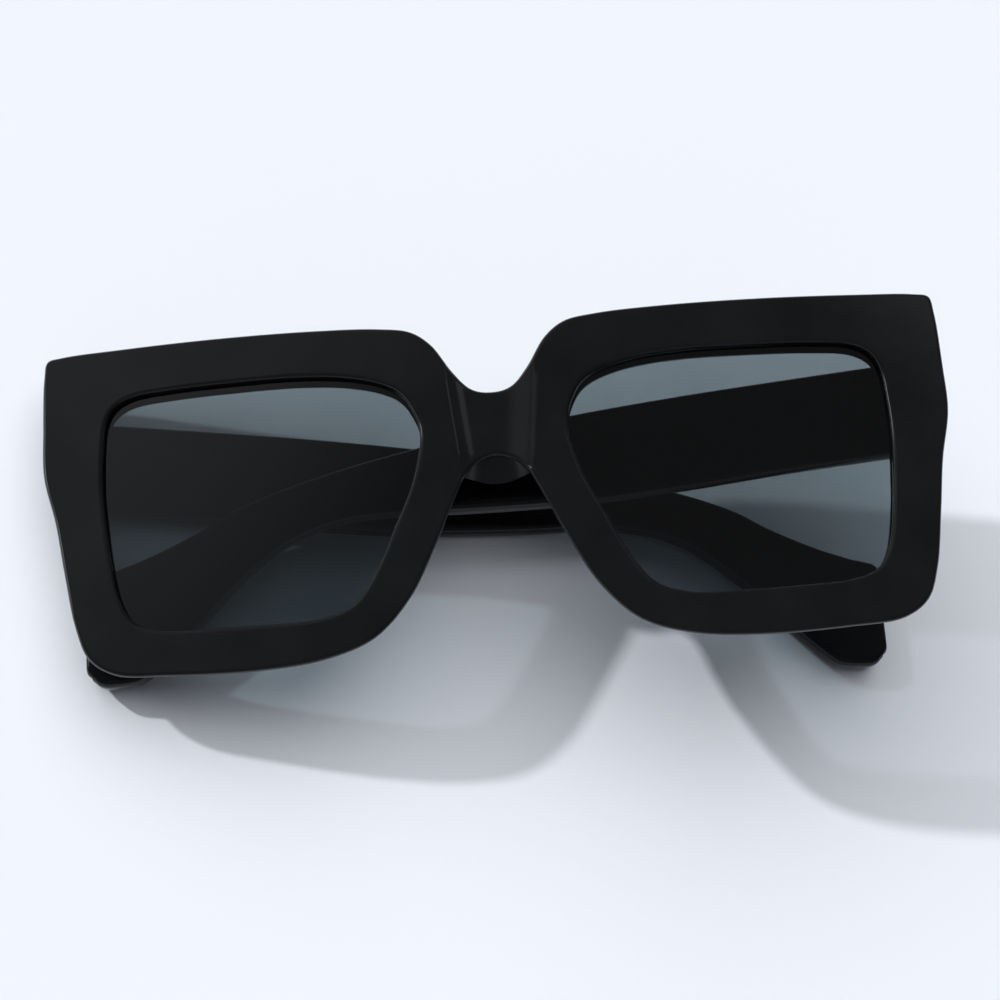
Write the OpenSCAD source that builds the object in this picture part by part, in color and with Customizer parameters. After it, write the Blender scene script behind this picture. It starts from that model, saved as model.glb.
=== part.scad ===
// Oversized square sunglasses, folded and lying on their back.
// Millimetres. The glasses are drawn upright, brow up (+Y) and front face forward (+Z),
// and one last move lays them on the outer face of the right temple.
// Left and right are the wearer's: left is at +X here.

/* [View] */

/* [Front] */

// Overall width of the front
front_w = 148.7; // [120:0.1:170]
// Overall height of the front
front_h = 56.6; // [40:0.1:70]
// Thickness of the front
front_t = 4.5; // [3.5:0.1:7]
// Radius to which the front is bent across its width
bend_r = 750; // [300:10:2000]
// Rounding of the front edges
edge_r = 0.7; // [0.2:0.05:1.2]
// Rounding of the back edges
back_edge_r = 0.5; // [0.2:0.05:1]
// How far the outer wall leans in from front to back
wall_draft = 0.8; // [0:0.1:1.5]

/* [Bridge] */

// How far the bridge panel is set back from the front face
recess_d = 1.1; // [0:0.1:2.5]
// Half width of the set-back panel at its top
recess_half_top = 8.5; // [5:0.1:10]
// Half width of the set-back panel at its bottom
recess_half_low = 5.8; // [3:0.1:8]
// Width of the slope from the rim down to the panel
recess_slope = 3.6; // [0.5:0.1:5]
// How far the back edge of the bridge's underside hangs below its front edge
scoop_drop = 4.6; // [0:0.1:6]
// Half width of that slanted underside
scoop_half = 5.7; // [3:0.1:8]

/* [Lenses] */

// Width of the rim between a lens opening and the side of the front
side_rim = 9.95; // [6:0.05:16]
// Height of a lens opening
lens_h = 41.05; // [30:0.05:50]
// Distance between the two lens openings
lens_gap = 24.1; // [16:0.1:32]
// Height of the brow rim above the opening
brow_rim = 8.1; // [5:0.1:12]
// Lens thickness
lens_t = 1.9; // [1:0.1:2.5]
// Depth of the groove that holds the lens edge
groove_d = 0.9; // [0.5:0.05:1.5]
// Rim material in front of the groove
front_lip = 1.5; // [0.8:0.1:3]
// Play between lens and groove
lens_clear = 0.1; // [0.05:0.01:0.3]

/* [Nose pads] */

// Length of a nose pad
pad_l = 12; // [8:0.5:16]
// Width of a nose pad
pad_w = 4.6; // [3:0.1:7]
// How far a nose pad stands out behind the rim
pad_out = 2.2; // [1:0.1:3]
// Distance from the middle of the nose to a pad
pad_x = 13.2; // [8:0.1:16]
// Height of the pads' middle above the bottom of the front
pad_rise = 20; // [10:0.5:28]
// Lean of the pads, which follow the nose opening
pad_lean = 24; // [0:1:40]

/* [Temples] */

// Thickness of a temple
temple_t = 4.6; // [3:0.1:6]
// Length of a temple behind the hinge pin
temple_l = 137.5; // [120:0.5:150]
// Height of a temple at the hinge
root_h = 15.7; // [8:0.1:20]
// How far the temple's upper edge lies below the top of the front
root_drop = 9.95; // [4:0.05:16]
// Rounding of the temple's edges
temple_edge_r = 0.9; // [0.3:0.1:1.5]
// Distance behind the hinge pin at which the temple starts to curve in
bow_start = 85; // [50:1:110]
// Radius of that inward curve
bow_r = 900; // [300:50:2000]

/* [Hinges] */

// Radius of a hinge barrel
barrel_r = 1.7; // [1.2:0.1:2.2]
// Length of one knuckle
knuckle_l = 1.8; // [1.2:0.1:3]
// Play between neighbouring knuckles
knuckle_clear = 0.08; // [0.04:0.01:0.2]
// Height of the hinge's middle below the top of the front
hinge_drop = 17.8; // [10:0.1:30]
// Distance from the hinge pin to the outer edge of the front
hinge_edge = 5.8; // [5:0.1:8]
// Distance from the hinge pin to the inner face of the temple
hinge_inset = 1.2; // [1.05:0.05:1.5]
// Gap between barrel and front
barrel_gap = 0.2; // [0.1:0.05:0.6]
// Thickness of a hinge leaf
leaf_t = 1; // [0.6:0.1:1.5]
// Width of the leaf let into the front
front_leaf_w = 7; // [5:0.1:8]
// Length of the leaf sunk into the temple
temple_leaf_l = 11; // [8:0.5:16]
// Radius of the hinge screw
screw_r = 0.7; // [0.5:0.05:0.9]
// Radius of the screw's head
screw_head_r = 1.25; // [0.9:0.05:1.6]
// Height of the screw's head
screw_head_h = 0.6; // [0.4:0.1:1]
// Running play round the screw
screw_clear = 0.03; // [0.01:0.01:0.1]
// Radius of the pins that anchor the front leaf
anchor_r = 0.6; // [0.4:0.05:0.8]
// Length of those pins below the leaf
anchor_l = 1.8; // [1:0.1:2.4]
// Play round a leaf in its pocket
pocket_clear = 0.05; // [0.02:0.01:0.2]
// Gap between the temple's end and the front when open
stop_gap = 0.15; // [0.05:0.05:0.4]
// How far the flat hinge seat reaches below the temple's end
seat_margin = 1.2; // [0.5:0.1:4]

/* [Folded pose] */

// Angle of the folded left temple, which lies inside, to the front
left_fold = 0; // [0:0.5:4]
// Angle of the folded right temple, which lies across it, to the front
right_fold = 12.5; // [12:0.5:20]

/* [Hidden] */

black = [0.07, 0.075, 0.08];
lens_tint = [0.3, 0.36, 0.4, 0.6];
metal = [0.72, 0.71, 0.69];

low_share = 0.437;
front_low = -front_h * low_share;
front_top = front_low + front_h;
lens_x = lens_gap / 2;
lens_w = front_w / 2 - lens_x - side_rim;
lens_low = front_top - brow_rim - lens_h;
round_steps = 2;
span_steps = 2;
pin_fn = 28;
barrel_fn = 36;
bend_fn = 720;
over = leaf_t;

// Half of the front's outline, from the top of the bridge round to its underside:
// shares of half the front's width and of its height.
outline_shares = [
    [0, 0.771], [0.043, 0.784], [0.086, 0.844], [0.126, 0.923], [0.17, 0.967],
    [0.243, 0.985], [0.392, 0.996], [0.608, 1], [0.824, 0.996], [0.954, 0.99],
    [0.988, 0.98], [0.996, 0.93], [1, 0.761], [0.999, 0.627], [0.974, 0.485],
    [0.955, 0.33], [0.932, 0.168], [0.903, 0.074], [0.846, 0.024], [0.73, 0.008],
    [0.541, 0], [0.392, 0.017], [0.284, 0.067], [0.203, 0.175], [0.143, 0.319],
    [0.096, 0.451], [0.068, 0.52], [0.038, 0.563], [0, 0.579]
];
// The lens opening at the same stations, from the nose side: shares of its width and height.
// The last two face the middle of the bridge.
lens_shares = [
    [0.028, 0.836], [0.045, 0.877], [0.068, 0.911], [0.1, 0.943], [0.152, 0.97],
    [0.247, 0.988], [0.381, 0.998], [0.572, 1], [0.782, 0.994], [0.908, 0.977],
    [0.962, 0.938], [0.987, 0.875], [0.998, 0.743], [1, 0.604], [0.992, 0.458],
    [0.979, 0.309], [0.95, 0.139], [0.904, 0.051], [0.824, 0.015], [0.687, 0.004],
    [0.496, 0], [0.328, 0.007], [0.228, 0.056], [0.152, 0.192], [0.095, 0.348],
    [0.041, 0.495], [0.012, 0.616], [0.001, 0.689], [0.001, 0.743],
    [0.006, 0.777], [0.014, 0.806]
];
// The temple: share of its length, then how far its upper and lower edges lie below
// the upper edge at the hinge, as shares of its height there.
temple_shares = [
    [0, 0, 1], [0.146, 0.096, 1.096], [0.276, 0.191, 1.204], [0.393, 0.299, 1.274],
    [0.538, 0.465, 1.28], [0.626, 0.605, 1.258], [0.698, 0.748, 1.31], [0.749, 0.872, 1.463],
    [0.785, 0.975, 1.665], [0.822, 1.108, 1.94], [0.857, 1.285, 2.255], [0.898, 1.458, 2.607],
    [0.934, 1.59, 2.868], [0.95, 1.638, 2.903], [0.966, 1.686, 2.91], [0.978, 1.712, 2.908],
    [0.986, 1.73, 2.884], [0.992, 1.744, 2.838], [1, 1.762, 2.79]
];

function mix(a, b, t) = a + (b - a) * t;
function clamp(v, lo, hi) = min(hi, max(lo, v));
function unit(v) = v / norm(v);

// A point on the smooth curve from p1 to p2, eased by the distance between the points.
function curve_pt(p0, p1, p2, p3, t) =
    let (
        t1 = sqrt(norm(p1 - p0)),
        t2 = t1 + sqrt(norm(p2 - p1)),
        t3 = t2 + sqrt(norm(p3 - p2)),
        s = mix(t1, t2, t),
        a1 = mix(p0, p1, s / t1),
        a2 = mix(p1, p2, (s - t1) / (t2 - t1)),
        a3 = mix(p2, p3, (s - t2) / (t3 - t2)),
        b1 = mix(a1, a2, s / t2),
        b2 = mix(a2, a3, (s - t1) / (t3 - t1))
    )
    mix(b1, b2, (s - t1) / (t2 - t1));

// A smooth curve through the points, in even steps, with a given point before and after.
function curve(pts, before, after, steps) =
    let (q = concat([before], pts, [after]))
    [for (i = [0:len(pts) - 2], k = [0:steps - 1])
        curve_pt(q[i], q[i + 1], q[i + 2], q[i + 3], k / steps)];

// Outline of the half front, and the stations that cross the bridge on the middle line.
function across(p) = [-p[0], p[1]];
outer_ctrl = [for (s = outline_shares) [s[0] * front_w / 2, front_low + s[1] * front_h]];
arch_top = outer_ctrl[0];
arch_low = outer_ctrl[len(outer_ctrl) - 1];
bridge_stations = len(lens_shares) - len(outline_shares) + 1;
bridge_steps = bridge_stations * span_steps;
outer_curve = curve(outer_ctrl, across(outer_ctrl[1]),
                    across(outer_ctrl[len(outer_ctrl) - 2]), span_steps);
outer_pts = concat(outer_curve,
                   [for (k = [0:bridge_steps - 1]) mix(arch_low, arch_top, k / bridge_steps)]);

// The lens opening, in step with the outline.
inner_ctrl = [for (s = lens_shares) [lens_x + s[0] * lens_w, lens_low + s[1] * lens_h]];
inner_pts = curve(concat(inner_ctrl, [inner_ctrl[0]]), inner_ctrl[len(inner_ctrl) - 1],
                  inner_ctrl[1], span_steps);

station_n = len(outer_pts);
outline_n = len(outer_curve);

// Normals: away from the material on the outline, into it on the lens opening.
function turn(v) = [-v[1], v[0]];
function side_normal(pts, i) =
    let (n = len(pts))
    unit(turn(pts[(i + 1) % n] - pts[(i + n - 1) % n]));
function outer_normal(i) =
    i == 0 ? [0, 1] : i == outline_n ? [0, -1] : i > outline_n ? [0, 0]
    : side_normal(outer_pts, i);
function inner_normal(i) = side_normal(inner_pts, i);

// The bend of the front, and how deep the bridge panel is set back.
function bend(x) = bend_r - sqrt(bend_r * bend_r - x * x);
function ease(t) = let (c = clamp(t, 0, 1)) c * (2 - c);
panel_top_share = 1.3;
function panel_half(y) =
    mix(recess_half_low, recess_half_top,
        clamp((y - arch_low[1]) / (arch_top[1] - arch_low[1]), 0, panel_top_share));
function recess(p) = recess_d * ease((panel_half(p[1]) - abs(p[0])) / recess_slope);

// The slanted underside of the bridge: how far the back outline drops at a station.
scoop_top_share = 0.3;
function scoop(p) =
    p[0] == 0
    ? scoop_drop * clamp((arch_top[1] - p[1]) / (arch_top[1] - arch_low[1]), 0, 1)
    : p[1] > mix(arch_low[1], arch_top[1], scoop_top_share) ? 0
    : scoop_drop * (1 - pow(clamp(p[0] / scoop_half, 0, 1), 2.2));

// One section of the rim: [outline point, depth behind the front face, set back or not].
// Face points sit where the panel's slope needs them.
slope_steps = 4;
slope_edge_share = 0.167;
function face_share(q, p, x) =
    p[0] < q[0] ? clamp((q[0] - x) / (q[0] - p[0]), 0, 1) : 1;
function section(i) =
    let (
        p = outer_pts[i], q = inner_pts[i], n = outer_normal(i), m = inner_normal(i),
        pf = p - n * edge_r, qf = q + m * edge_r,
        half = panel_half(p[1]),
        back = p - [0, scoop(p)]
    )
    concat(
        [for (k = [0:round_steps]) let (a = 90 * k / round_steps)
            [p - n * edge_r * (1 - sin(a)), edge_r * (1 - cos(a)), 1]],
        [for (k = [0:round_steps]) let (a = 90 * k / round_steps)
            [back - n * (wall_draft + back_edge_r * (1 - cos(a))),
             front_t - back_edge_r * (1 - sin(a)), 0]],
        [for (k = [0:1]) let (a = 90 * k)
            [q + m * back_edge_r * (1 - sin(a)), front_t - back_edge_r * (1 - cos(a)), 0]],
        [
            [q, front_lip + lens_t + lens_clear, 0],
            [q + m * groove_d, front_lip + lens_t + lens_clear, 0],
            [q + m * groove_d, front_lip - lens_clear, 0],
            [q, front_lip - lens_clear, 0]
        ],
        [for (k = [0:round_steps]) let (a = 90 * k / round_steps)
            [q + m * edge_r * (1 - cos(a)), edge_r * (1 - sin(a)), 1]],
        [for (k = [0:slope_steps - 1])
            let (
                x = half - recess_slope * k / (slope_steps - 1),
                cap = 1 - slope_edge_share * (slope_steps - k) / slope_steps
            )
            [mix(qf, pf, min(cap, face_share(qf, pf, x))), 0, 1]]
    );
function rim_pt(s) = [s[0][0], s[0][1], -bend(s[0][0]) - s[1] - s[2] * recess(s[0])];

// The whole front as one solid: a ring of sections round each lens opening. The two rings
// share the points on the middle line, and the faces that would lie there are left out.
module front_loft() {
    half = [for (i = [0:station_n - 1]) [for (s = section(i)) rim_pt(s)]];
    m = len(half[0]);
    pts = [for (s = half, p = s) p];
    count = len(pts);
    quads = [for (i = [0:station_n - 1], j = [0:m - 1])
        let (q = [i * m + j, i * m + (j + 1) % m,
                  ((i + 1) % station_n) * m + (j + 1) % m, ((i + 1) % station_n) * m + j])
        if (max([for (k = q) abs(pts[k][0])]) > 0) q];
    polyhedron(
        points = concat(pts, [for (p = pts) [-p[0], p[1], p[2]]]),
        faces = [for (q = quads)
            each [[q[0], q[1], q[2]], [q[0], q[2], q[3]],
                  [count + q[0], count + q[2], count + q[1]],
                  [count + q[0], count + q[3], count + q[2]]]]
    );
}

// An open row of sections with flat ends, as one solid.
module bar_loft(sections) {
    n = len(sections);
    m = len(sections[0]);
    polyhedron(
        points = [for (s = sections, p = s) p],
        faces = concat(
            [[for (j = [0:m - 1]) j]],
            [for (i = [0:n - 2], j = [0:m - 1])
                let (a = i * m + j, b = i * m + (j + 1) % m,
                     c = (i + 1) * m + (j + 1) % m, d = (i + 1) * m + j)
                each [[a, c, b], [a, d, c]]],
            [[for (j = [m - 1:-1:0]) (n - 1) * m + j]]
        )
    );
}

// Places a piece drawn for the left side on the side that is wanted.
module on_side(left) {
    if (left) children();
    else mirror([1, 0, 0]) children();
}

// The hinge: its pin runs up and down behind the end piece.
pin_x = front_w / 2 - hinge_edge;
seat_x = pin_x + hinge_edge - front_leaf_w - 2 * pocket_clear - edge_r;
seat_z = -front_t - bend(seat_x);
pin_z = seat_z - barrel_gap - barrel_r;
hinge_y = front_top - hinge_drop;
knuckle_n = 5;
hinge_h = knuckle_n * knuckle_l;
hinge_low = hinge_y - hinge_h / 2;
leaf_edge_x = front_w / 2 - edge_r;
root_top = front_top - root_drop;
end_reach = barrel_gap + barrel_r - stop_gap;
anchor_rise = hinge_h / 4;

module knuckles(first, r) {
    for (k = [first:2:knuckle_n - 1])
        translate([0, hinge_low + k * knuckle_l + knuckle_clear / 2, 0])
            rotate([-90, 0, 0])
                cylinder(r = r, h = knuckle_l - knuckle_clear, $fn = barrel_fn);
}

module screw_bore() {
    translate([0, hinge_low - over, 0])
        rotate([-90, 0, 0])
            cylinder(r = screw_r + screw_clear, h = hinge_h + 2 * over, $fn = pin_fn);
}

// Where the two anchor pins of a front leaf stand.
anchor_share = 0.78;
front_anchor_x = leaf_edge_x - front_leaf_w * anchor_share;

module front_anchor_shapes(r, extra) {
    for (s = [-1, 1])
        translate([front_anchor_x, hinge_y + s * anchor_rise, seat_z])
            cylinder(r = r, h = leaf_t + anchor_l + extra, $fn = pin_fn);
}

module front_leaf_pocket() {
    // flat seat milled for the hinge
    translate([seat_x, root_top - root_h - seat_margin, seat_z - front_t])
        cube([front_w, front_h, front_t]);
    translate([leaf_edge_x - front_leaf_w - pocket_clear, hinge_low - pocket_clear,
               seat_z - over])
        cube([front_leaf_w + 2 * pocket_clear, hinge_h + 2 * pocket_clear, leaf_t + over]);
    front_anchor_shapes(anchor_r + pocket_clear, pocket_clear);
}

module front_frame() {
    color(black)
    difference() {
        front_loft();
        for (left = [true, false]) on_side(left) front_leaf_pocket();
    }
}

// A lens: the opening grown into its groove, cut from a shell with the front's bend.
module lens(left) {
    color(lens_tint)
    on_side(left)
    intersection() {
        translate([0, 0, -front_t - bend(front_w / 2)])
            linear_extrude(front_t + bend(front_w / 2))
                polygon([for (i = [0:station_n - 1])
                    inner_pts[i] + inner_normal(i) * (groove_d - lens_clear)]);
        translate([0, lens_low - front_h / 2, -bend_r])
            rotate([-90, 0, 0])
                difference() {
                    cylinder(r = bend_r - front_lip, h = 2 * front_h, $fn = bend_fn);
                    translate([0, 0, -over])
                        cylinder(r = bend_r - front_lip - lens_t, h = 2 * (front_h + over),
                                 $fn = bend_fn);
                }
    }
}

// A nose pad: a soft rounded crest bonded to the back of the rim.
module nose_pad(left) {
    pad_y = front_low + pad_rise;
    pad_z = -front_t - bend(pad_x + pad_w);
    color(black)
    on_side(left)
    difference() {
        translate([pad_x, pad_y, pad_z])
            rotate([0, 0, pad_lean])
                hull()
                    for (s = [-1, 1])
                        translate([0, s * (pad_l - pad_w) / 2, pad_w / 2 - pad_out])
                            sphere(d = pad_w, $fn = 24);
        translate([0, front_low, pad_z])
            cube([front_w, front_h, front_t + pad_w]);
    }
}

web_share = 1.6;

module front_leaf(left) {
    web_w = hinge_inset * web_share;
    color(metal)
    on_side(left)
    difference() {
        union() {
            translate([leaf_edge_x - front_leaf_w, hinge_low, seat_z])
                cube([front_leaf_w, hinge_h, leaf_t]);
            for (k = [0:2:knuckle_n - 1])
                translate([pin_x - web_w / 2, hinge_low + k * knuckle_l + knuckle_clear / 2,
                           pin_z])
                    cube([web_w, knuckle_l - knuckle_clear, seat_z - pin_z + leaf_t / 2]);
            translate([pin_x, 0, pin_z]) knuckles(0, barrel_r);
        }
        translate([pin_x, 0, pin_z]) screw_bore();
        translate([0, 0, -over]) front_anchor_shapes(anchor_r, 2 * over);
    }
}

module front_anchors(left) {
    color(metal)
    on_side(left) front_anchor_shapes(anchor_r, 0);
}

module hinge_screw(left) {
    slot_w = screw_head_r / 3;
    color(metal)
    on_side(left)
    translate([pin_x, hinge_low, pin_z])
        rotate([-90, 0, 0])
            difference() {
                union() {
                    cylinder(r = screw_r, h = hinge_h, $fn = pin_fn);
                    translate([0, 0, hinge_h])
                        cylinder(r = screw_head_r, h = screw_head_h, $fn = pin_fn);
                }
                translate([-screw_head_r - over, -slot_w / 2, hinge_h + screw_head_h / 2])
                    cube([2 * (screw_head_r + over), slot_w, screw_head_h]);
            }
}

// Temple pieces are drawn with the hinge pin on the Y axis, the temple along +X and
// its inner face towards +Z. This lays them beside the front at their folded angle.
module on_temple(left) {
    fold = left ? left_fold : right_fold;
    mirror([left ? 1 : 0, 0, 0])
        translate([-pin_x, 0, pin_z])
            rotate([0, fold, 0])
                children();
}

// Inward curve of the temple at a distance from the pin.
function bow(s) = s < bow_start ? 0 : bow_r - sqrt(bow_r * bow_r - pow(s - bow_start, 2));

temple_ctrl = [for (s = temple_shares)
    [s[0] * temple_l, root_top - s[1] * root_h, root_top - s[2] * root_h]];
temple_last = temple_ctrl[len(temple_ctrl) - 1];
temple_run = concat(
    curve(temple_ctrl, [-temple_ctrl[1][0], 2 * temple_ctrl[0][1] - temple_ctrl[1][1],
                        2 * temple_ctrl[0][2] - temple_ctrl[1][2]],
          2 * temple_last - temple_ctrl[len(temple_ctrl) - 2], 2),
    [temple_last]);
// The square front end, the sections and the rounded tip: [distance, top, bottom, inset].
root_fall = (temple_run[1][1] - temple_run[0][1]) / temple_run[1][0];
temple_stations = concat(
    [[-end_reach, temple_run[0][1] - root_fall * end_reach,
      temple_run[0][2] - root_fall * end_reach, 0]],
    [for (p = temple_run) if (p[0] < temple_l - temple_edge_r) [p[0], p[1], p[2], 0]],
    [for (k = [0:2]) let (a = 45 * k)
        [temple_l - temple_edge_r * (1 - sin(a)), temple_last[1], temple_last[2],
         temple_edge_r * (1 - cos(a))]]
);

function temple_section(st) =
    let (
        r = temple_edge_r - st[3] * 0.5, top = st[1] - st[3], low = st[2] + st[3],
        inner = -hinge_inset + bow(st[0]) - st[3],
        outer = -hinge_inset - temple_t + bow(st[0]) + st[3],
        arc = function (y, z, a0) [for (k = [0:2]) let (a = a0 + 45 * k)
            [st[0], y + r * cos(a), z + r * sin(a)]]
    )
    concat(arc(top - r, inner - r, 0), arc(low + r, inner - r, 90),
           arc(low + r, outer + r, 180), arc(top - r, outer + r, 270));

// The temple's half of the hinge is sunk into the temple: only its knuckles stand out.
tongue_z = -hinge_inset - temple_t / 2;
tongue_low = barrel_r / 2;

module tongue(extra) {
    translate([-tongue_low - extra, hinge_low + knuckle_l - extra, tongue_z - leaf_t / 2 - extra])
        cube([temple_leaf_l + tongue_low + 2 * extra, hinge_h - 2 * knuckle_l + 2 * extra,
              leaf_t + 2 * extra]);
    for (k = [1:2:knuckle_n - 1])
        translate([-tongue_low - extra, hinge_low + k * knuckle_l + knuckle_clear / 2 - extra,
                   tongue_z - extra])
            cube([2 * (tongue_low + extra), knuckle_l - knuckle_clear + 2 * extra,
                  -tongue_z - screw_r + extra]);
}

module temple(left) {
    color(black)
    on_temple(left)
    difference() {
        bar_loft([for (st = temple_stations) temple_section(st)]);
        // relief round the barrel, and the slot that holds the sunk leaf
        translate([0, hinge_low - barrel_gap, 0])
            rotate([-90, 0, 0])
                cylinder(r = barrel_r + barrel_gap, h = hinge_h + screw_head_h + 2 * barrel_gap,
                         $fn = barrel_fn);
        tongue(pocket_clear);
    }
}

module temple_leaf(left) {
    color(metal)
    on_temple(left)
    difference() {
        union() {
            tongue(0);
            knuckles(1, barrel_r);
        }
        screw_bore();
    }
}

// Lays the glasses on the right temple's outer face, with the middle at the origin.
function laid(p) = [p[0] * cos(right_fold) - p[1] * sin(right_fold),
                    p[0] * sin(right_fold) + p[1] * cos(right_fold)];
pin_laid = laid([-pin_x, pin_z]);
lay_z = hinge_inset + temple_t - pin_laid[1];
low_x = laid([-front_w / 2, -bend(front_w / 2) - edge_r])[0];
high_x = max(pin_laid[0] + temple_l,
             laid([front_w / 2, -bend(front_w / 2) - front_t + back_edge_r])[0]);
lay_x = -(low_x + high_x) / 2;
lay_y = -(front_top + front_low) / 2;

module laid_down() {
    translate([lay_x, lay_y, lay_z])
        rotate([0, -right_fold, 0])
            children();
}

laid_down() {
    front_frame();
    lens(true);  // lens_left
    lens(false);  // lens_right
    nose_pad(true);  // nose_pad_left
    nose_pad(false);  // nose_pad_right
    front_leaf(true);  // front_leaf_left
    front_leaf(false);  // front_leaf_right
    front_anchors(true);  // front_anchors_left
    front_anchors(false);  // front_anchors_right
    hinge_screw(true);  // hinge_screw_left
    hinge_screw(false);  // hinge_screw_right
    temple(true);  // temple_left
    temple_leaf(true);  // temple_leaf_left
    temple(false);  // temple_right
    temple_leaf(false);  // temple_leaf_right
}
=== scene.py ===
"""Looks of the folded oversized sunglasses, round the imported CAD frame."""

import math

import bmesh
import bpy
import numpy as np
from mathutils import Matrix, Vector


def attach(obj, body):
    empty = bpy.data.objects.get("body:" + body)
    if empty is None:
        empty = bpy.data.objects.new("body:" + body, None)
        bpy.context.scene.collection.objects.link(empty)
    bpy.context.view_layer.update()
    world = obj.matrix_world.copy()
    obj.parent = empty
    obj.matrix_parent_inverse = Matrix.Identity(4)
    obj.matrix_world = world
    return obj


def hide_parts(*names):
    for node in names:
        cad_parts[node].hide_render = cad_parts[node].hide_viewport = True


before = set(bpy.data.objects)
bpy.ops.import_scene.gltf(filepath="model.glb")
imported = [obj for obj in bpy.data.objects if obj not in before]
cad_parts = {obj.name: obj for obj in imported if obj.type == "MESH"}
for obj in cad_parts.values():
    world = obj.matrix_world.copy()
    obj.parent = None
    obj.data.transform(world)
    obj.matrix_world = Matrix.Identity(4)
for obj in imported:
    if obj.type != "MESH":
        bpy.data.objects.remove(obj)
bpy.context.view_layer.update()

# The same named sizes as the CAD model, in millimetres, with the glasses drawn upright:
# brow up (+Y), front face forward (+Z), the wearer's left at +X. Five forms are drawn finer
# here than in the solids: the panel (RECESS_), the scoop under the bridge (SCOOP_, PINCH_RUN),
# the nose-side corner of the openings (the first points of LENS), the lip behind the lens along
# the brow (BACK_LIP) and the temples' lower edges (TEMPLE_LOW_R).
FRONT_W, FRONT_H, FRONT_T = 148.7, 56.6, 4.5
BEND_R = 750
EDGE_R, BACK_EDGE_R, WALL_DRAFT = 0.7, 0.5, 0.8
RECESS_D, RECESS_TOP, RECESS_LOW, RECESS_SLOPE = 1.1, 6.9, 5.8, 6.0
SCOOP_DROP, SCOOP_HALF = 4.9, 5.25
SCOOP_PINCH, PINCH_RUN = 0.9, 4
SIDE_RIM, LENS_H, LENS_GAP, BROW_RIM = 9.95, 41.05, 24.1, 8.1
LENS_T, GROOVE_D, FRONT_LIP, LENS_CLEAR = 1.9, 0.9, 1.5, 0.1
BACK_LIP = 0.55
PAD_L, PAD_W, PAD_OUT, PAD_X, PAD_RISE, PAD_LEAN = 12, 4.6, 2.2, 13.2, 20, 24
TEMPLE_T, TEMPLE_L, ROOT_H, ROOT_DROP = 4.6, 137.5, 15.7, 9.95
TEMPLE_EDGE_R, TEMPLE_LOW_R, BOW_START, BOW_R = 0.9, 1.7, 85, 900
BARREL_R, KNUCKLE_L, KNUCKLES = 1.7, 1.8, 5
HINGE_DROP, HINGE_EDGE, HINGE_INSET = 17.8, 5.8, 1.2
BARREL_GAP, LEAF_T, FRONT_LEAF_W = 0.2, 1, 7
SCREW_HEAD_H, POCKET_CLEAR, STOP_GAP, SEAT_MARGIN = 0.6, 0.05, 0.15, 1.2
POCKET_OPEN = 1  # how far the leaf pocket's cut reaches out behind the seat
LEFT_FOLD, RIGHT_FOLD = 0, 12.5
LOW_SHARE = 0.437  # share of the front's height below the middle of the drawing
FRONT_LOW = -FRONT_H * LOW_SHARE
FRONT_TOP = FRONT_LOW + FRONT_H
LENS_X = LENS_GAP / 2
LENS_W = FRONT_W / 2 - LENS_X - SIDE_RIM
LENS_LOW = FRONT_TOP - BROW_RIM - LENS_H

# Steps of the finer mesh: to a span of the outlines, round an edge, across a plain face and
# down the panel's slope.
SPAN = 8
ROUND = 6
FACE = 7
SLOPE = 9
SLOPE_CROWD = 1.5  # power that crowds the slope's steps towards its crest
SLOPE_EDGE = 0.167  # share of a section over which steps cut short by the outline stay apart
CREST_SOFT = 0.9  # width of the strip outside the crest that softens it
LENS_RINGS = 20
PAD_AROUND, PAD_ALONG = 48, 40
DRUM_STEPS = 72
HALVINGS = 40

# How the panel and the scoop run, as powers or shares of the bridge's height.
EASE_POWER = 3
PANEL_TOP_REACH = 1.3  # the panel goes on widening up to here
SCOOP_TOP_REACH = 0.3  # the scoop's ends stay below this
SCOOP_FACES_DOWN = 0.2  # least downward turn of a face that is part of the scoop

PAD_SUNK = 0.35  # how far a pad runs into the rim
TIP_INSET_SHARE = 0.5  # how much the upper edge's radius shrinks with the rounded tip

# Normals and clean-up: degrees that still count as smooth, the weight of broad faces, the step
# in millimetres over which a slope is taken, and distances in metres.
SMOOTH, PAD_SMOOTH = 32, 50
BROAD_WEIGHT = 80
SLOPE_REACH = 0.12
ON_FACE = 1e-6
SAME_POINT = 1e-8

OUTLINE = [
    (0, 0.771), (0.043, 0.784), (0.086, 0.844), (0.126, 0.923), (0.17, 0.967),
    (0.243, 0.985), (0.392, 0.996), (0.608, 1), (0.824, 0.996), (0.954, 0.99),
    (0.988, 0.98), (0.996, 0.93), (1, 0.761), (0.999, 0.627), (0.974, 0.485),
    (0.955, 0.33), (0.932, 0.168), (0.903, 0.074), (0.846, 0.024), (0.73, 0.008),
    (0.541, 0), (0.392, 0.017), (0.284, 0.067), (0.203, 0.175), (0.143, 0.319),
    (0.096, 0.451), (0.068, 0.52), (0.038, 0.563), (0, 0.579),
]
LENS = [
    (0.0245, 0.836), (0.0425, 0.875), (0.068, 0.908), (0.1, 0.932), (0.152, 0.957),
    (0.247, 0.983), (0.381, 0.998), (0.572, 1), (0.782, 0.994), (0.908, 0.977),
    (0.962, 0.938), (0.987, 0.875), (0.998, 0.743), (1, 0.604), (0.992, 0.458),
    (0.979, 0.309), (0.95, 0.139), (0.904, 0.051), (0.824, 0.015), (0.687, 0.004),
    (0.496, 0), (0.328, 0.007), (0.228, 0.056), (0.152, 0.192), (0.095, 0.348),
    (0.041, 0.495), (0.012, 0.616), (0.001, 0.689), (0.001, 0.743),
    (0.006, 0.777), (0.014, 0.806),
]
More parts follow.
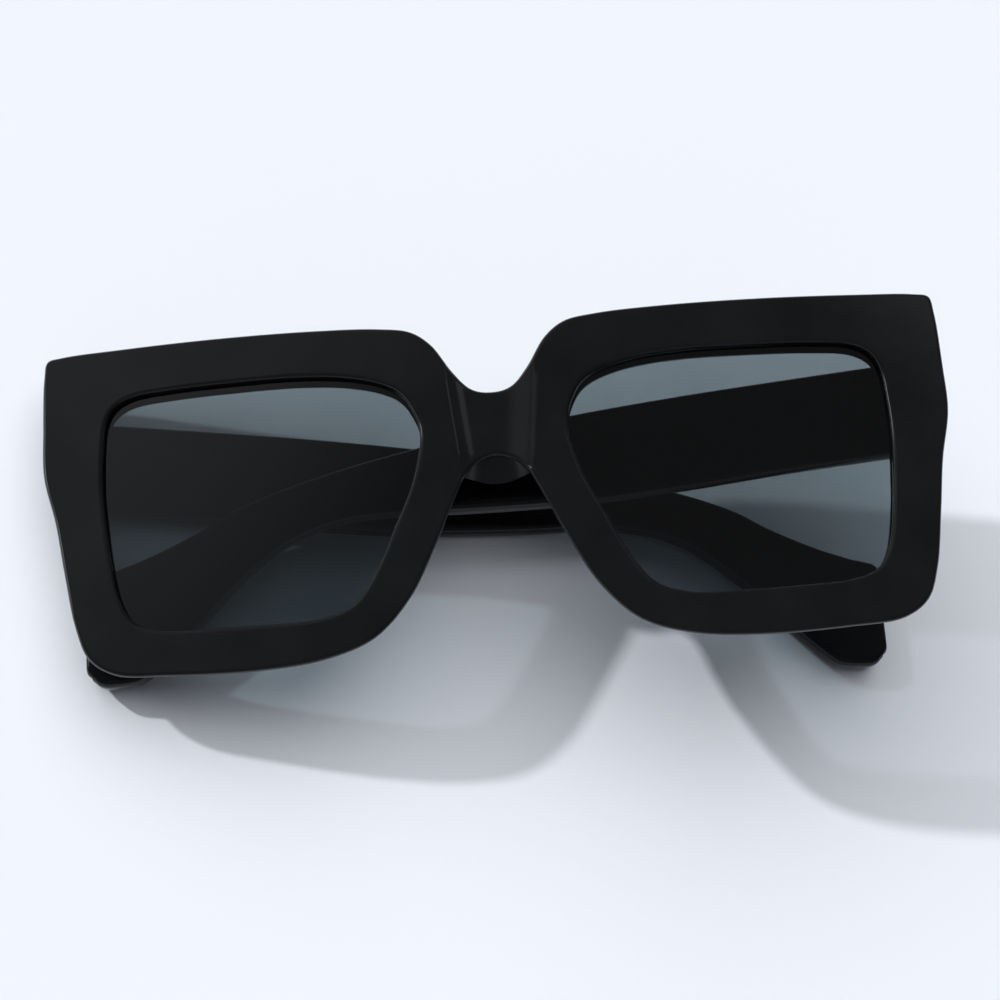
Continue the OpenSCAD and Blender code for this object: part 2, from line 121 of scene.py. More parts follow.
TEMPLE = [
    (0, 0, 1), (0.146, 0.096, 1.096), (0.276, 0.191, 1.204), (0.393, 0.299, 1.274),
    (0.538, 0.465, 1.28), (0.626, 0.605, 1.258), (0.698, 0.748, 1.31),
    (0.749, 0.872, 1.463), (0.785, 0.975, 1.665), (0.822, 1.108, 1.94),
    (0.857, 1.285, 2.255), (0.898, 1.458, 2.607), (0.934, 1.59, 2.868),
    (0.95, 1.638, 2.903), (0.966, 1.686, 2.91), (0.978, 1.712, 2.908),
    (0.986, 1.73, 2.884), (0.992, 1.744, 2.838), (1, 1.762, 2.79),
]


def mix(a, b, t):
    return a + (b - a) * t


def clamp(v, lo, hi):
    return min(hi, max(lo, v))


def unit(v):
    return v / np.linalg.norm(v)


def curve(pts, before, after, steps):
    """Points of a smooth curve through pts, steps to a span, without the last point."""
    q = [np.array(p, float) for p in [before, *pts, after]]
    out = []
    for i in range(len(pts) - 1):
        p0, p1, p2, p3 = q[i : i + 4]
        t1 = math.sqrt(np.linalg.norm(p1 - p0))
        t2 = t1 + math.sqrt(np.linalg.norm(p2 - p1))
        t3 = t2 + math.sqrt(np.linalg.norm(p3 - p2))
        for k in range(steps):
            s = mix(t1, t2, k / steps)
            a1, a2 = mix(p0, p1, s / t1), mix(p1, p2, (s - t1) / (t2 - t1))
            a3 = mix(p2, p3, (s - t2) / (t3 - t2))
            b1, b2 = mix(a1, a2, s / t2), mix(a2, a3, (s - t1) / (t3 - t1))
            out.append(mix(b1, b2, (s - t1) / (t2 - t1)))
    return out


def bend(x):
    return BEND_R - math.sqrt(BEND_R * BEND_R - x * x)


# Outline of the half front and of the lens opening, in step with each other.
outer_ctrl = [np.array((s[0] * FRONT_W / 2, FRONT_LOW + s[1] * FRONT_H)) for s in OUTLINE]
inner_ctrl = [np.array((LENS_X + s[0] * LENS_W, LENS_LOW + s[1] * LENS_H)) for s in LENS]
arch_top, arch_low = outer_ctrl[0], outer_ctrl[-1]
flip = np.array((-1, 1))
outer_curve = curve(outer_ctrl, outer_ctrl[1] * flip, outer_ctrl[-2] * flip, SPAN)
OUTLINE_N = len(outer_curve)
bridge_steps = (len(LENS) - len(OUTLINE) + 1) * SPAN
edge = np.array((0, EDGE_R))
outer_pts = outer_curve + [arch_low] + [
    mix(arch_low + edge, arch_top - edge, k / bridge_steps) for k in range(1, bridge_steps)
]
inner_pts = curve(inner_ctrl + inner_ctrl[:1], inner_ctrl[-1], inner_ctrl[1], SPAN)
STATIONS = len(outer_pts)


def side_normal(pts, i):
    d = pts[(i + 1) % len(pts)] - pts[i - 1]
    return unit(np.array((-d[1], d[0])))


def outer_normal(i):
    if i == 0:
        return np.array((0.0, 1.0))
    if i == OUTLINE_N:
        return np.array((0.0, -1.0))
    if i > OUTLINE_N:
        return np.zeros(2)
    return side_normal(outer_pts, i)


def ease(t):
    return 1 - (1 - clamp(t, 0, 1)) ** EASE_POWER


def panel_half(y):
    """Half the width of the bridge's sunk panel, out to its crest."""
    return mix(RECESS_LOW, RECESS_TOP,
               clamp((y - arch_low[1]) / (arch_top[1] - arch_low[1]), 0, PANEL_TOP_REACH))


def recess(p):
    """Depth of the panel."""
    return RECESS_D * ease((panel_half(p[1]) - abs(p[0])) / RECESS_SLOPE)


def scoop(p):
    """Drop of the back edge below the front edge under the bridge."""
    if p[0] == 0:
        return SCOOP_DROP * clamp((arch_top[1] - p[1]) / (arch_top[1] - arch_low[1]), 0, 1)
    if p[1] > mix(arch_low[1], arch_top[1], SCOOP_TOP_REACH):
        return 0
    if p[0] < SCOOP_HALF:
        return (SCOOP_DROP + SCOOP_PINCH) * (1 - (p[0] / SCOOP_HALF) ** 2) - SCOOP_PINCH
    return -SCOOP_PINCH * (1 - clamp((p[0] - SCOOP_HALF) / PINCH_RUN, 0, 1)) ** 2


def crossing(a, b, inside):
    """How far from a to b, as a share up to 1, the line is inside mm past the panel's crest."""
    if b[0] > panel_half(b[1]) - inside:
        return 1
    lo, hi = 0, 1
    for _ in range(HALVINGS):
        middle = (lo + hi) / 2
        p = mix(a, b, middle)
        if p[0] > panel_half(p[1]) - inside:
            lo = middle
        else:
            hi = middle
    return lo


def section(i):
    """One section of the rim: (point, depth behind the front face, share of the recess)."""
    p, q = outer_pts[i], inner_pts[i]
    n, m = outer_normal(i), side_normal(inner_pts, i)
    pf, qf = p - n * EDGE_R, q + m * EDGE_R
    back = p - np.array((0, scoop(p)))
    turn = [math.pi / 2 * k / ROUND for k in range(ROUND + 1)]
    pts = [(p - n * EDGE_R * (1 - math.sin(a)), EDGE_R * (1 - math.cos(a)), 1) for a in turn]
    pts += [(back - n * (WALL_DRAFT + BACK_EDGE_R * (1 - math.cos(a))),
             FRONT_T - BACK_EDGE_R * (1 - math.sin(a)), 0) for a in turn]
    qb = q - m * BACK_LIP * max(0, m[1])
    b0, b1 = back - n * (WALL_DRAFT + BACK_EDGE_R), qb + m * BACK_EDGE_R
    pts += [(mix(b0, b1, k / FACE), FRONT_T, 0) for k in range(1, FACE)]
    pts += [(qb + m * BACK_EDGE_R * (1 - math.sin(a)),
             FRONT_T - BACK_EDGE_R * (1 - math.cos(a)), 0) for a in turn]
    rear = FRONT_LIP + LENS_T + LENS_CLEAR
    fore = FRONT_LIP - LENS_CLEAR
    pts += [(qb, rear, 0), (q + m * GROOVE_D, rear, 0), (q + m * GROOVE_D, fore, 0), (q, fore, 0)]
    pts += [(q + m * EDGE_R * (1 - math.cos(a)), EDGE_R * (1 - math.sin(a)), 1) for a in turn]
    slope = []
    steps = [-CREST_SOFT] + [RECESS_SLOPE * (k / SLOPE) ** SLOPE_CROWD for k in range(SLOPE)]
    for k, inside in enumerate(steps):
        cap = 1 - SLOPE_EDGE * (len(steps) - k) / len(steps)
        slope.append(min(cap, crossing(qf, pf, inside)))
    shares = [slope[0] * k / FACE for k in range(1, FACE)] + slope
    pts += [(mix(qf, pf, s), 0, 1) for s in shares]
    return pts


# From the upright drawing to the row frame: laid on the right temple, in metres.
pin_x = FRONT_W / 2 - HINGE_EDGE
seat_x = pin_x + HINGE_EDGE - FRONT_LEAF_W - 2 * POCKET_CLEAR - EDGE_R
seat_z = -FRONT_T - bend(seat_x)
pin_z = seat_z - BARREL_GAP - BARREL_R
hinge_y = FRONT_TOP - HINGE_DROP
hinge_h = KNUCKLES * KNUCKLE_L
hinge_low = hinge_y - hinge_h / 2
leaf_edge_x = FRONT_W / 2 - EDGE_R
root_top = FRONT_TOP - ROOT_DROP
fold = math.radians(RIGHT_FOLD)


def laid(x, z):
    return np.array((x * math.cos(fold) - z * math.sin(fold),
                     x * math.sin(fold) + z * math.cos(fold)))


pin_laid = laid(-pin_x, pin_z)
lay_z = HINGE_INSET + TEMPLE_T - pin_laid[1]
low_x = laid(-FRONT_W / 2, -bend(FRONT_W / 2) - EDGE_R)[0]
high_x = max(pin_laid[0] + TEMPLE_L,
             laid(FRONT_W / 2, -bend(FRONT_W / 2) - FRONT_T + BACK_EDGE_R)[0])
LAY = Vector((-(low_x + high_x) / 2, -(FRONT_TOP + FRONT_LOW) / 2, lay_z))
LAID = Matrix(((math.cos(fold), 0, -math.sin(fold)), (0, 1, 0),
               (math.sin(fold), 0, math.cos(fold))))
MM = 0.001


def to_row(p):
    return (LAID @ Vector(p) + LAY) * MM


# Camera: made first. Its place and turns, in radians, are given in the upright drawing.
VIEW_TURN_Z, VIEW_TURN_X, VIEW_TURN_Y = 0.0711515, -0.2792527, -0.0109322
VIEW_DISTANCE = 343.5
VIEW_AIM = Vector((0.195, 0, 0))
SENSOR_W = 36
FOCAL_SHARE = 2.1402  # focal length as a share of the sensor's width
NEAR_CLIP = 0.01
view_turn = (Matrix.Rotation(VIEW_TURN_Z, 3, "Z") @ Matrix.Rotation(VIEW_TURN_X, 3, "X")
             @ Matrix.Rotation(VIEW_TURN_Y, 3, "Y"))
camera_data = bpy.data.cameras.new("camera")
camera_data.sensor_width = SENSOR_W
camera_data.lens = SENSOR_W * FOCAL_SHARE
camera_data.clip_start = NEAR_CLIP
camera = bpy.data.objects.new("camera", camera_data)
bpy.context.scene.collection.objects.link(camera)
place = to_row(view_turn.transposed() @ Vector((0, 0, VIEW_DISTANCE)) + VIEW_AIM)
axes = LAID @ view_turn.transposed()
camera.matrix_world = Matrix.Translation(place) @ axes.to_4x4()
bpy.context.scene.camera = camera
bpy.context.scene.view_settings.view_transform = "Standard"


# Materials. Noise scales are per metre, bump depths in metres.
BLACK_DARK, BLACK_LIGHT = (0.0045, 0.0048, 0.0055), (0.0065, 0.0069, 0.0078)
PAD_DARK, PAD_LIGHT = (0.006, 0.0063, 0.007), (0.009, 0.0094, 0.0104)
METAL_DARK, METAL_LIGHT = (0.5, 0.49, 0.47), (0.66, 0.65, 0.62)
LENS_DARK, LENS_LIGHT = (0.41, 0.455, 0.47), (0.43, 0.475, 0.49)
NOISE_LO, NOISE_HI = 0.35, 0.65  # middle range of a noise
PLASTIC_IOR, LENS_IOR = 1.5, 1.72
CLOUD_DETAIL, GRAIN_DETAIL, POLISH_DETAIL = 3, 4, 5
POLISH_FINER, POLISH_ROUGH = 5, 0.6
GRAIN_STRENGTH = 0.5
LENS_CLOUD, LENS_CLOUD_DETAIL = 45, 2
SMEAR, SMEAR_DETAIL, SMEAR_STRETCH, SMEAR_ROUGH = 160, 4, (1, 0.4, 1), 0.6
LENS_POLISH = 0.012, 0.05


def material(name):
    mat = bpy.data.materials.new(name)
    mat.use_nodes = True
    nodes = mat.node_tree.nodes
    nodes.clear()
    return mat, nodes, mat.node_tree.links


def noise(nodes, links, scale, detail, stretch=None, rough=0.5):
    """A noise over the piece's own coordinates, in metres. Returns its value socket."""
    coord = nodes.new("ShaderNodeTexCoord")
    tex = nodes.new("ShaderNodeTexNoise")
    tex.inputs["Scale"].default_value = scale
    tex.inputs["Detail"].default_value = detail
    tex.inputs["Roughness"].default_value = rough
    if stretch:
        mapping = nodes.new("ShaderNodeMapping")
        mapping.inputs["Scale"].default_value = stretch
        links.new(coord.outputs["Object"], mapping.inputs["Vector"])
        links.new(mapping.outputs["Vector"], tex.inputs["Vector"])
    else:
        links.new(coord.outputs["Object"], tex.inputs["Vector"])
    return tex.outputs["Fac"]


def span(nodes, links, value, lo, hi):
    """value, spread from its middle range to lo..hi."""
    node = nodes.new("ShaderNodeMapRange")
    node.inputs["From Min"].default_value = NOISE_LO
    node.inputs["From Max"].default_value = NOISE_HI
    node.inputs["To Min"].default_value = lo
    node.inputs["To Max"].default_value = hi
    links.new(value, node.inputs["Value"])
    return node.outputs["Result"]


def blend_color(nodes, links, factor, a, b):
    node = nodes.new("ShaderNodeMix")
    node.data_type = "RGBA"
    node.inputs["A"].default_value = (*a, 1)
    node.inputs["B"].default_value = (*b, 1)
    links.new(factor, node.inputs["Factor"])
    return node.outputs["Result"]


def bump(nodes, links, height, strength, distance):
    node = nodes.new("ShaderNodeBump")
    node.inputs["Strength"].default_value = strength
    node.inputs["Distance"].default_value = distance
    links.new(height, node.inputs["Height"])
    return node.outputs["Normal"]


def solid(name, dark, light, rough_lo, rough_hi, metallic=0.0, grain=2200, depth=4e-6,
          stretch=None, cloud=90, shine=0.5):
    """A moulded or ground surface: cloudy colour, uneven polish and a fine grain."""
    mat, nodes, links = material(name)
    out = nodes.new("ShaderNodeOutputMaterial")
    bsdf = nodes.new("ShaderNodeBsdfPrincipled")
    bsdf.inputs["Metallic"].default_value = metallic
    bsdf.inputs["IOR"].default_value = PLASTIC_IOR
    bsdf.inputs["Specular IOR Level"].default_value = shine
    broad = noise(nodes, links, cloud, CLOUD_DETAIL)
    fine = noise(nodes, links, grain, GRAIN_DETAIL, stretch)
    links.new(blend_color(nodes, links, span(nodes, links, broad, 0, 1), dark, light),
              bsdf.inputs["Base Color"])
    polish = noise(nodes, links, cloud * POLISH_FINER, POLISH_DETAIL, stretch, POLISH_ROUGH)
    links.new(span(nodes, links, polish, rough_lo, rough_hi), bsdf.inputs["Roughness"])
    links.new(bump(nodes, links, fine, GRAIN_STRENGTH, depth), bsdf.inputs["Normal"])
    links.new(bsdf.outputs["BSDF"], out.inputs["Surface"])
    return mat


black_plastic = solid("black_plastic", BLACK_DARK, BLACK_LIGHT, 0.08, 0.11)
temple_plastic = solid("temple_plastic", BLACK_DARK, BLACK_LIGHT, 0.1, 0.14, shine=0.2)
scoop_plastic = solid("scoop_plastic", BLACK_DARK, BLACK_LIGHT, 0.4, 0.5, shine=0.3)
pad_plastic = solid("pad_plastic", PAD_DARK, PAD_LIGHT, 0.24, 0.36, grain=1500, depth=1e-5)
hinge_metal = solid("hinge_metal", METAL_DARK, METAL_LIGHT, 0.2, 0.36,
                    metallic=1.0, grain=1800, depth=8e-6, stretch=(1, 0.08, 1))


def tinted(name):
    """Smoke-grey lens: each face passes tinted light, and the near one mirrors a little.

    The light isn't bent, so the far face would count as a full mirror past 39 degrees.
    """
    mat, nodes, links = material(name)
    out = nodes.new("ShaderNodeOutputMaterial")
    clear = nodes.new("ShaderNodeBsdfTransparent")
    gloss = nodes.new("ShaderNodeBsdfGlossy")
    gloss.inputs["Color"].default_value = (1, 1, 1, 1)
    fresnel = nodes.new("ShaderNodeFresnel")
    fresnel.inputs["IOR"].default_value = LENS_IOR
    join = nodes.new("ShaderNodeMixShader")
    broad = noise(nodes, links, LENS_CLOUD, LENS_CLOUD_DETAIL)
    links.new(blend_color(nodes, links, span(nodes, links, broad, 0, 1), LENS_DARK, LENS_LIGHT),
              clear.inputs["Color"])
    smear = noise(nodes, links, SMEAR, SMEAR_DETAIL, SMEAR_STRETCH, SMEAR_ROUGH)
    links.new(span(nodes, links, smear, *LENS_POLISH), gloss.inputs["Roughness"])
    side = nodes.new("ShaderNodeNewGeometry")
    near = nodes.new("ShaderNodeMath")
    near.operation = "SUBTRACT"
    near.inputs[0].default_value = 1
    links.new(side.outputs["Backfacing"], near.inputs[1])
    mirrored = nodes.new("ShaderNodeMath")
    mirrored.operation = "MULTIPLY"
    links.new(fresnel.outputs["Fac"], mirrored.inputs[0])
    links.new(near.outputs["Value"], mirrored.inputs[1])
    links.new(mirrored.outputs["Value"], join.inputs["Fac"])
    links.new(clear.outputs["BSDF"], join.inputs[1])
    links.new(gloss.outputs["BSDF"], join.inputs[2])
    links.new(join.outputs["Shader"], out.inputs["Surface"])
    return mat


tinted_lens = tinted("tinted_lens")


# Pieces.
def new_object(name, verts, faces, mat):
    mesh = bpy.data.meshes.new(name)
    mesh.from_pydata([tuple(to_row(v)) for v in verts], [], faces)
    mesh.materials.append(mat)
    obj = bpy.data.objects.new(name, mesh)
    bpy.context.scene.collection.objects.link(obj)
    return obj


def tidy_mesh(obj):
    """Joins doubled points, drops loose ones and turns the faces outward."""
    bm = bmesh.new()
    bm.from_mesh(obj.data)
    bmesh.ops.remove_doubles(bm, verts=bm.verts, dist=SAME_POINT)
    bmesh.ops.dissolve_degenerate(bm, edges=bm.edges, dist=SAME_POINT)
    loose = [v for v in bm.verts if not v.link_faces]
    bmesh.ops.delete(bm, geom=loose, context="VERTS")
    bmesh.ops.recalc_face_normals(bm, faces=bm.faces)
    bm.to_mesh(obj.data)
    bm.free()


def shade(obj, angle=SMOOTH):
    """Smooth faces with real edges kept, and normals led by the broad faces."""
    mesh = obj.data
    mesh.polygons.foreach_set("use_smooth", [True] * len(mesh.polygons))
    mesh.set_sharp_from_angle(angle=math.radians(angle))
    lead = obj.modifiers.new("broad_normals", "WEIGHTED_NORMAL")
    lead.mode = "FACE_AREA"
    lead.weight = BROAD_WEIGHT
    lead.keep_sharp = True


def front_height(x, y):
    return -bend(x) - recess((x, y))


def face_slope(x, y, dx, dy):
    """Slope of the front face, from a short step to both sides of a point."""
    return (front_height(x + dx, y + dy) - front_height(x - dx, y - dy)) / (2 * SLOPE_REACH)


def true_front(obj):
    """Gives the front face its drawn surface's own normals, and the scoop its plastic."""
    shade(obj)
    obj.data = bpy.data.meshes.new_from_object(
        obj.evaluated_get(bpy.context.evaluated_depsgraph_get()))
    obj.modifiers.clear()
    mesh = obj.data
    back_turn = LAID.transposed()
    normals = {}
    for v in mesh.vertices:
        x, y, z = back_turn @ (v.co / MM - LAY)
        if abs(z - front_height(x, y)) * MM < ON_FACE:
            normal = Vector((-face_slope(x, y, SLOPE_REACH, 0),
                             -face_slope(x, y, 0, SLOPE_REACH), 1))
            normals[v.index] = (LAID @ normal).normalized()
    mesh.materials.append(scoop_plastic)
    for face in mesh.polygons:
        center = back_turn @ (face.center / MM - LAY)
        near = abs(center.x) < SCOOP_HALF and abs(center.y - arch_low[1]) < SCOOP_DROP
        if near and -(back_turn @ face.normal).y > SCOOP_FACES_DOWN:
            face.material_index = 1
    mesh.normals_split_custom_set([
        normals.get(loop.vertex_index, corner.vector)
        for loop, corner in zip(mesh.loops, mesh.corner_normals)])


def box_cutter(lo, hi):
    """A closed box between two corners of the upright drawing."""
    x0, y0, z0 = lo
    x1, y1, z1 = hi
    verts = [(x, y, z) for x in (x0, x1) for y in (y0, y1) for z in (z0, z1)]
    faces = [(0, 1, 3, 2), (4, 6, 7, 5), (0, 4, 5, 1), (2, 3, 7, 6), (0, 2, 6, 4), (1, 5, 7, 3)]
    return verts, faces


def drum_cutter(center, r, y0, y1, steps=DRUM_STEPS):
    """A closed drum along Y round center (x, z)."""
    ring = [(center[0] + r * math.cos(2 * math.pi * k / steps),
             center[1] + r * math.sin(2 * math.pi * k / steps)) for k in range(steps)]
    verts = [(x, y0, z) for x, z in ring] + [(x, y1, z) for x, z in ring]
    faces = [tuple(range(steps)), tuple(range(2 * steps - 1, steps - 1, -1))]
    faces += [(k, k + steps, (k + 1) % steps + steps, (k + 1) % steps) for k in range(steps)]
    return verts, faces


def cut(obj, shapes):
    """Cuts closed shapes, given in the upright drawing, out of obj for good."""
    for verts, faces in shapes:
        tool = new_object("cutter", verts, faces, obj.data.materials[0])
        tidy_mesh(tool)
        step = obj.modifiers.new("cut", "BOOLEAN")
        step.operation = "DIFFERENCE"
        step.solver = "EXACT"
        step.object = tool
        bpy.context.view_layer.update()
        done = bpy.data.meshes.new_from_object(
            obj.evaluated_get(bpy.context.evaluated_depsgraph_get()))
        obj.modifiers.clear()
        old, obj.data = obj.data, done
        bpy.data.meshes.remove(old)
        tool_mesh = tool.data
        bpy.data.objects.remove(tool)
        bpy.data.meshes.remove(tool_mesh)


# The front: a ring of sections round each opening, mirrored, with the seats and pockets cut.
rings = [[(s[0][0], s[0][1], -bend(s[0][0]) - s[1] - s[2] * recess(s[0])) for s in section(i)]
         for i in range(STATIONS)]
width = len(rings[0])
half_pts = [p for ring in rings for p in ring]
count = len(half_pts)
front_faces = []
for i in range(STATIONS):
    for j in range(width):
        quad = (i * width + j, i * width + (j + 1) % width,
                (i + 1) % STATIONS * width + (j + 1) % width, (i + 1) % STATIONS * width + j)
        if max(abs(half_pts[k][0]) for k in quad) > 0:
            front_faces.append(quad)
            front_faces.append(tuple(count + k for k in reversed(quad)))
front = new_object("front_black", half_pts + [(-x, y, z) for x, y, z in half_pts],
                   front_faces, black_plastic)
tidy_mesh(front)
seat_cuts = []
for side in (1, -1):
    for lo, hi in (
        ((seat_x, root_top - ROOT_H - SEAT_MARGIN, seat_z - FRONT_T),
         (FRONT_W, FRONT_H, seat_z)),
        ((leaf_edge_x - FRONT_LEAF_W - POCKET_CLEAR, hinge_low - POCKET_CLEAR,
          seat_z - POCKET_OPEN),
         (leaf_edge_x + POCKET_CLEAR, hinge_low + hinge_h + POCKET_CLEAR, seat_z + LEAF_T)),
    ):
        xs = sorted((side * lo[0], side * hi[0]))
        seat_cuts.append(box_cutter((xs[0], lo[1], lo[2]), (xs[1], hi[1], hi[2])))
cut(front, seat_cuts)
true_front(front)
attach(front, "front")
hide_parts("front_frame")


# Lenses: curved panes let into the grooves.
def lens(name, node, sign):
    rim = [inner_pts[i] + side_normal(inner_pts, i) * (GROOVE_D - LENS_CLEAR)
           for i in range(STATIONS)]
    middle = sum(rim) / len(rim)
    verts, faces, turns = [], [], LENS_RINGS
    for r in (BEND_R - FRONT_LIP, BEND_R - FRONT_LIP - LENS_T):
        for t in range(turns, 0, -1):
            for p in rim:
                x, y = mix(middle, p, t / turns)
                verts.append((sign * x, y, math.sqrt(r * r - x * x) - BEND_R))
        x, y = middle
        verts.append((sign * x, y, math.sqrt(r * r - x * x) - BEND_R))
    n = len(rim)
    layer = turns * n + 1
    for side in (0, layer):
        for t in range(turns - 1):
            for i in range(n):
                a, b = side + t * n + i, side + t * n + (i + 1) % n
                faces.append((a, b, b + n, a + n))
        for i in range(n):
            faces.append((side + (turns - 1) * n + i, side + (turns - 1) * n + (i + 1) % n,
                          side + turns * n))
    for i in range(n):
        faces.append((i, (i + 1) % n, layer + (i + 1) % n, layer + i))
    obj = new_object(name, verts, faces, tinted_lens)
    tidy_mesh(obj)
    shade(obj)
    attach(obj, "front")
    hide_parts(node)


lens("lens_pane_left", "lens_left", 1)
lens("lens_pane_right", "lens_right", -1)


# Nose pads: rounded crests that run into the back of the rim.
def nose_pad(name, node, sign):
    around, along = PAD_AROUND, PAD_ALONG
    r = PAD_W / 2
    pad_y = FRONT_LOW + PAD_RISE
    pad_z = -FRONT_T - bend(PAD_X + PAD_W)
    lean = math.radians(PAD_LEAN)
    verts, faces = [], []
    for j in range(along + 1):
        lat = math.pi * (j / along - 0.5)
        shift = math.copysign((PAD_L - PAD_W) / 2, lat) if j != along / 2 else 0
        for k in range(around):
            lon = 2 * math.pi * k / around
            x, y = r * math.cos(lat) * math.cos(lon), r * math.sin(lat) + shift
            z = min(r * math.cos(lat) * math.sin(lon) + r - PAD_OUT, PAD_SUNK)
            verts.append((sign * (PAD_X + x * math.cos(lean) - y * math.sin(lean)),
                          pad_y + x * math.sin(lean) + y * math.cos(lean), pad_z + z))
    for j in range(along):
        for k in range(around):
            a, b = j * around + k, j * around + (k + 1) % around
            faces.append((a, b, b + around, a + around))
    obj = new_object(name, verts, faces, pad_plastic)
    tidy_mesh(obj)
    shade(obj, PAD_SMOOTH)
    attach(obj, "front")
    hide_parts(node)


nose_pad("nose_rest_left", "nose_pad_left", 1)
nose_pad("nose_rest_right", "nose_pad_right", -1)


# Temples: one rounded section along the drawn sweep, with a rounded tip and a drum cut for the
# barrel of the hinge.
temple_ctrl = [np.array((s[0] * TEMPLE_L, root_top - s[1] * ROOT_H, root_top - s[2] * ROOT_H))
               for s in TEMPLE]
lead_in = np.array((-temple_ctrl[1][0], 2 * temple_ctrl[0][1] - temple_ctrl[1][1],
                    2 * temple_ctrl[0][2] - temple_ctrl[1][2]))
temple_run = curve(temple_ctrl, lead_in, 2 * temple_ctrl[-1] - temple_ctrl[-2], SPAN)
temple_run.append(temple_ctrl[-1])
end_reach = BARREL_GAP + BARREL_R - STOP_GAP


def bow(s):
    return 0 if s < BOW_START else BOW_R - math.sqrt(BOW_R * BOW_R - (s - BOW_START) ** 2)


def temple_section(s, top, low, inset):
    """Section at s along the temple between its top and low edge, drawn in by inset."""
    top, low = top - inset, low + inset
    inner = -HINGE_INSET + bow(s) - inset
    outer = -HINGE_INSET - TEMPLE_T + bow(s) + inset
    r_top, r_low = TEMPLE_EDGE_R - inset * TIP_INSET_SHARE, TEMPLE_LOW_R - inset
    pts = []
    for y, z, r, start in ((top - r_top, inner - r_top, r_top, 0),
                           (low + r_low, inner - r_low, r_low, 90),
                           (low + r_low, outer + r_low, r_low, 180),
                           (top - r_top, outer + r_top, r_top, 270)):
        for k in range(ROUND + 1):
            a = math.radians(start + 90 * k / ROUND)
            pts.append((s, y + r * math.cos(a), z + r * math.sin(a)))
    return pts


def temple(name, node, body, sign, angle):
    fall = (temple_run[1][1] - temple_run[0][1]) / temple_run[1][0]
    rows = [(-end_reach, temple_run[0][1] - fall * end_reach,
             temple_run[0][2] - fall * end_reach, 0)]
    rows += [(*p, 0) for p in temple_run if p[0] < TEMPLE_L - TEMPLE_EDGE_R]
    for k in range(ROUND + 1):
        a = math.pi / 2 * k / ROUND
        rows.append((TEMPLE_L - TEMPLE_EDGE_R * (1 - math.sin(a)), temple_ctrl[-1][1],
                     temple_ctrl[-1][2], TEMPLE_EDGE_R * (1 - math.cos(a))))
    ca, sa = math.cos(math.radians(angle)), math.sin(math.radians(angle))

    def placed(p):
        x, z = p[0] * ca + p[2] * sa - pin_x, -p[0] * sa + p[2] * ca + pin_z
        return (sign * x, p[1], z)

    verts = [placed(p) for row in rows for p in temple_section(*row)]
    m = 4 * (ROUND + 1)
    faces = [tuple(range(m)), tuple(range(len(verts) - 1, len(verts) - m - 1, -1))]
    for i in range(len(rows) - 1):
        for j in range(m):
            a, b = i * m + j, i * m + (j + 1) % m
            faces.append((a, a + m, b + m, b))
    obj = new_object(name, verts, faces, temple_plastic)
    tidy_mesh(obj)
    drum = drum_cutter((-sign * pin_x, pin_z), BARREL_R + BARREL_GAP, hinge_low - BARREL_GAP,
                       hinge_low + hinge_h + SCREW_HEAD_H + BARREL_GAP)
    cut(obj, [drum])
    shade(obj)
    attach(obj, body)
    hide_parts(node)


temple("temple_black_left", "temple_left", "left_temple", -1, LEFT_FOLD)
temple("temple_black_right", "temple_right", "right_temple", 1, RIGHT_FOLD)


# CAD nodes that stay: the metal of the hinges.
for node_name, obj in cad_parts.items():
    if node_name.startswith(("front_leaf", "temple_leaf", "hinge_screw", "front_anchors")):
        for slot in obj.material_slots:
            slot.material = hinge_metal


# Stage: a pale floor, a key light from the left, a wide fill from above and a dim room whose
# few soft bright places are all that the gloss shows. The two lamps leave the gloss alone.
FLOOR_HALF = 40
FLOOR_DARK, FLOOR_LIGHT = (0.85, 0.885, 0.955), (0.87, 0.905, 0.975)
FLOOR_CLOUD, FLOOR_DETAIL = 6, 2
FLOOR_ROUGH, FLOOR_SHINE = 0.7, 0.2
KEY_ENERGY, KEY_WIDE, KEY_RISE = 1.65, 2.5, math.radians(35.8)
KEY_RUN = Vector((0.836, -0.548, 0)) * math.cos(KEY_RISE)
FILL_ENERGY, FILL_WIDE, FILL_WAY = 2.2, 75, (0.05, -0.5, -0.86)
ROOM_COLOR = (0.95, 0.975, 1.03, 1)
SKIRTING = (0.02, 0.12, 0.6, 0.08)  # from this height to that one, from this level to that one
GLOWS = (  # direction, degrees to its full and its faint edge, level
    ((-0.55, 0.56, 0.62), 14, 29, 0.2),
    ((0.22, 0.43, 0.87), 4, 9, 0.4),
    ((-0.93, 0.25, 0.27), 3, 8, 6),
    ((-0.05, -0.9, 0.35), 14, 35, 0.12),
)


def floor():
    mat, nodes, links = material("floor")
    out = nodes.new("ShaderNodeOutputMaterial")
    bsdf = nodes.new("ShaderNodeBsdfPrincipled")
    bsdf.inputs["Roughness"].default_value = FLOOR_ROUGH
    bsdf.inputs["Specular IOR Level"].default_value = FLOOR_SHINE
    cloud = noise(nodes, links, FLOOR_CLOUD, FLOOR_DETAIL)
    links.new(blend_color(nodes, links, cloud, FLOOR_DARK, FLOOR_LIGHT),
              bsdf.inputs["Base Color"])
    links.new(bsdf.outputs["BSDF"], out.inputs["Surface"])
    mesh = bpy.data.meshes.new("floor")
    mesh.from_pydata([(-FLOOR_HALF, -FLOOR_HALF, 0), (FLOOR_HALF, -FLOOR_HALF, 0),
                      (FLOOR_HALF, FLOOR_HALF, 0), (-FLOOR_HALF, FLOOR_HALF, 0)],
                     [], [(0, 1, 2, 3)])
    mesh.materials.append(mat)
    obj = bpy.data.objects.new("floor", mesh)
    bpy.context.scene.collection.objects.link(obj)


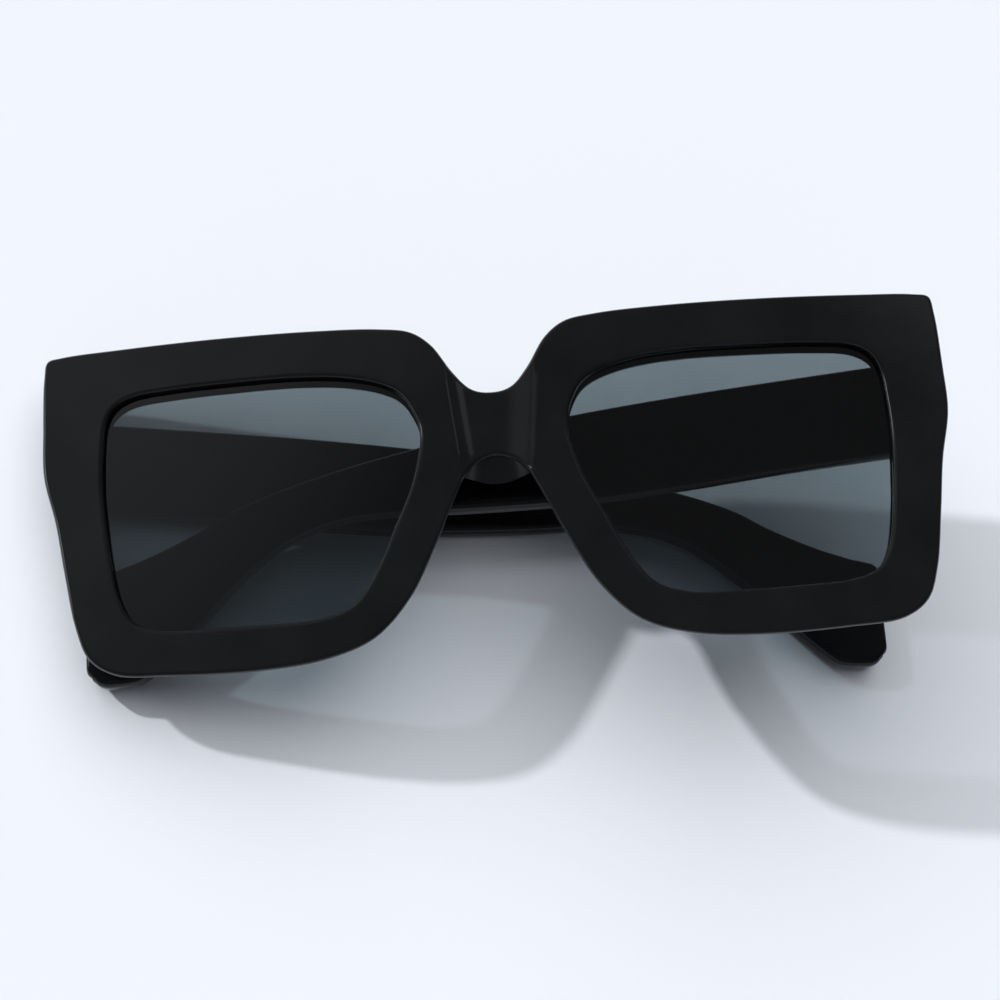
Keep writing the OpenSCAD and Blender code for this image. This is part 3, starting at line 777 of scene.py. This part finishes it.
def lamp(name, energy, wide, way):
    """A distant lamp, wide degrees across, that shines along way."""
    data = bpy.data.lights.new(name, "SUN")
    data.energy = energy
    data.angle = math.radians(wide)
    obj = bpy.data.objects.new(name, data)
    obj.visible_glossy = False
    obj.rotation_euler = Vector(way).to_track_quat("-Z", "Y").to_euler()
    bpy.context.scene.collection.objects.link(obj)


def studio():
    """A dim room with a pale skirting at the horizon and the soft bright places of GLOWS."""
    world = bpy.data.worlds.new("studio")
    bpy.context.scene.world = world
    world.use_nodes = True
    nodes, links = world.node_tree.nodes, world.node_tree.links
    nodes.clear()
    out = nodes.new("ShaderNodeOutputWorld")
    back = nodes.new("ShaderNodeBackground")
    back.inputs["Color"].default_value = ROOM_COLOR
    coord = nodes.new("ShaderNodeTexCoord")

    def ease_range(value, lo, hi, at_lo, at_hi):
        node = nodes.new("ShaderNodeMapRange")
        node.interpolation_type = "SMOOTHSTEP"
        for key, v in (("From Min", lo), ("From Max", hi), ("To Min", at_lo), ("To Max", at_hi)):
            node.inputs[key].default_value = v
        links.new(value, node.inputs["Value"])
        return node.outputs["Result"]

    split = nodes.new("ShaderNodeSeparateXYZ")
    links.new(coord.outputs["Generated"], split.inputs["Vector"])
    total = ease_range(split.outputs["Z"], *SKIRTING)
    for way, inner, outer, level in GLOWS:
        toward = nodes.new("ShaderNodeVectorMath")
        toward.operation = "DOT_PRODUCT"
        toward.inputs[1].default_value = Vector(way).normalized()
        links.new(coord.outputs["Generated"], toward.inputs[0])
        glow = ease_range(toward.outputs["Value"], math.cos(math.radians(outer)),
                          math.cos(math.radians(inner)), 0, level)
        add = nodes.new("ShaderNodeMath")
        add.operation = "ADD"
        links.new(total, add.inputs[0])
        links.new(glow, add.inputs[1])
        total = add.outputs["Value"]
    links.new(total, back.inputs["Strength"])
    links.new(back.outputs["Background"], out.inputs["Surface"])


floor()
lamp("key", KEY_ENERGY, KEY_WIDE, KEY_RUN - Vector((0, 0, math.sin(KEY_RISE))))
lamp("fill", FILL_ENERGY, FILL_WIDE, FILL_WAY)
studio()
